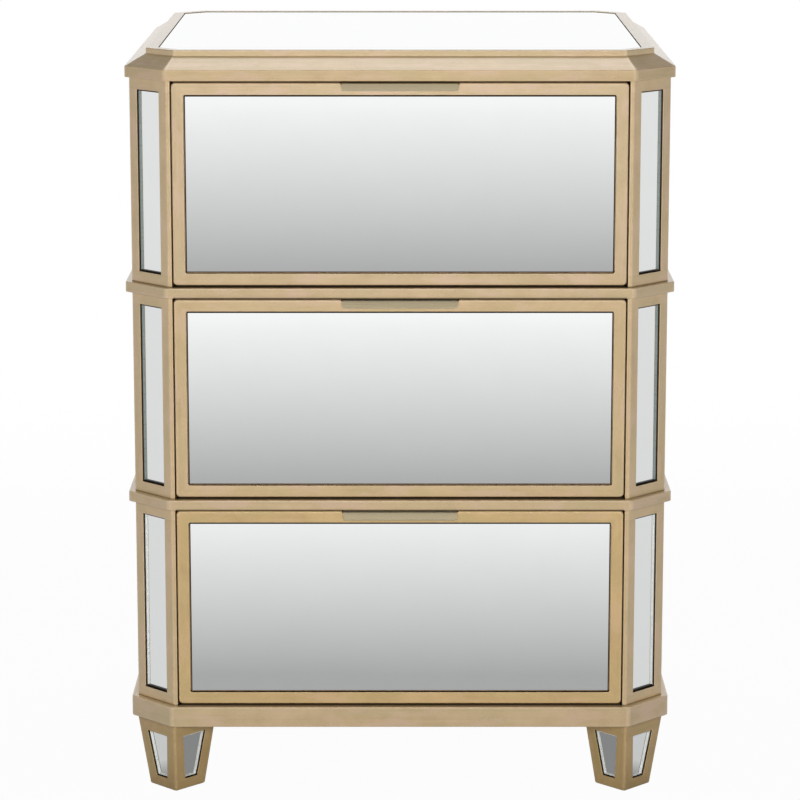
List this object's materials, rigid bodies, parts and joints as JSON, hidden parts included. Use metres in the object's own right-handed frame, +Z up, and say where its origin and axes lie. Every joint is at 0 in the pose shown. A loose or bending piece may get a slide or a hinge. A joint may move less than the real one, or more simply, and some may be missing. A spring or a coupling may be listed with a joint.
{
  "type": "mirrored nightstand",
  "caption": "Mirrored nightstand: stacked drawers with framed mirror fronts and edge pulls in a champagne-gold case with clipped corners, belt mouldings, moulded top and tapered feet.",
  "frame": {"origin": "on the floor, in the middle of the outline, pulls included", "axes": "+Z up, the drawers open towards -Y, +X to the right of someone facing the drawers"},
  "size_m": [0.554, 0.5254, 0.7645],
  "materials": {
    "gold_paint": "satin champagne-gold paint, brushed",
    "mirror_glass": "silvered glass",
    "board": "fibreboard and plywood, brown",
    "drawer_box": "clear satin lacquer",
    "slide_steel": "zinc plated",
    "pull_metal": "aged champagne plating"
  },
  "bodies": {
    "case": {"top_frame": "gold_paint", "top_board": "board", "top_mirror": "mirror_glass", "belt_upper": "gold_paint", "belt_lower": "gold_paint", "dust_panel_upper": "board", "dust_panel_lower": "board", "base_frame": "gold_paint", "bottom_panel": "board", "post_front_left": "gold_paint", "post_front_right": "gold_paint", "post_rear_left": "gold_paint", "post_rear_right": "gold_paint", "post_mirrors": "mirror_glass", "side_panel_left": "gold_paint", "side_panel_right": "gold_paint", "side_mirrors": "mirror_glass", "back_panels": "board", "slide_cleats": "board", "foot_front_left": "gold_paint", "foot_front_right": "gold_paint", "foot_rear_left": "gold_paint", "foot_rear_right": "gold_paint", "foot_mirrors": "mirror_glass", "foot_bolts": "slide_steel", "slide_cabinet_1": "slide_steel", "slide_cabinet_2": "slide_steel", "slide_cabinet_3": "slide_steel"},
    "drawer_1": {"drawer_1_front_frame": "gold_paint", "drawer_1_front_board": "board", "drawer_1_mirror": "mirror_glass", "drawer_1_box_sides": "drawer_box", "drawer_1_box_back": "drawer_box", "drawer_1_box_bottom": "drawer_box", "drawer_1_pull": "pull_metal", "drawer_1_pull_screws": "slide_steel", "slide_drawer_1": "slide_steel"},
    "slide_middle_1": {"slide_middle_1": "slide_steel"},
    "drawer_2": {"drawer_2_front_frame": "gold_paint", "drawer_2_front_board": "board", "drawer_2_mirror": "mirror_glass", "drawer_2_box_sides": "drawer_box", "drawer_2_box_back": "drawer_box", "drawer_2_box_bottom": "drawer_box", "drawer_2_pull": "pull_metal", "drawer_2_pull_screws": "slide_steel", "slide_drawer_2": "slide_steel"},
    "slide_middle_2": {"slide_middle_2": "slide_steel"},
    "drawer_3": {"drawer_3_front_frame": "gold_paint", "drawer_3_front_board": "board", "drawer_3_mirror": "mirror_glass", "drawer_3_box_sides": "drawer_box", "drawer_3_box_back": "drawer_box", "drawer_3_box_bottom": "drawer_box", "drawer_3_pull": "pull_metal", "drawer_3_pull_screws": "slide_steel", "slide_drawer_3": "slide_steel"},
    "slide_middle_3": {"slide_middle_3": "slide_steel"}
  },
  "joints": [
    {"name": "drawer_1_slide", "type": "slide", "parent": "case", "child": "drawer_1", "axis": [0, -1, 0], "range_m": [0, 0.32]},
    {"name": "middle_1_slide", "type": "slide", "parent": "case", "child": "slide_middle_1", "axis": [0, -1, 0], "range_m": [0, 0.16]},
    {"name": "drawer_2_slide", "type": "slide", "parent": "case", "child": "drawer_2", "axis": [0, -1, 0], "range_m": [0, 0.32]},
    {"name": "middle_2_slide", "type": "slide", "parent": "case", "child": "slide_middle_2", "axis": [0, -1, 0], "range_m": [0, 0.16]},
    {"name": "drawer_3_slide", "type": "slide", "parent": "case", "child": "drawer_3", "axis": [0, -1, 0], "range_m": [0, 0.32]},
    {"name": "middle_3_slide", "type": "slide", "parent": "case", "child": "slide_middle_3", "axis": [0, -1, 0], "range_m": [0, 0.16]}
  ],
  "couplings": [
    {"joint": "middle_1_slide", "follows": "drawer_1_slide", "ratio": 0.5},
    {"joint": "middle_2_slide", "follows": "drawer_2_slide", "ratio": 0.5},
    {"joint": "middle_3_slide", "follows": "drawer_3_slide", "ratio": 0.5}
  ]
}
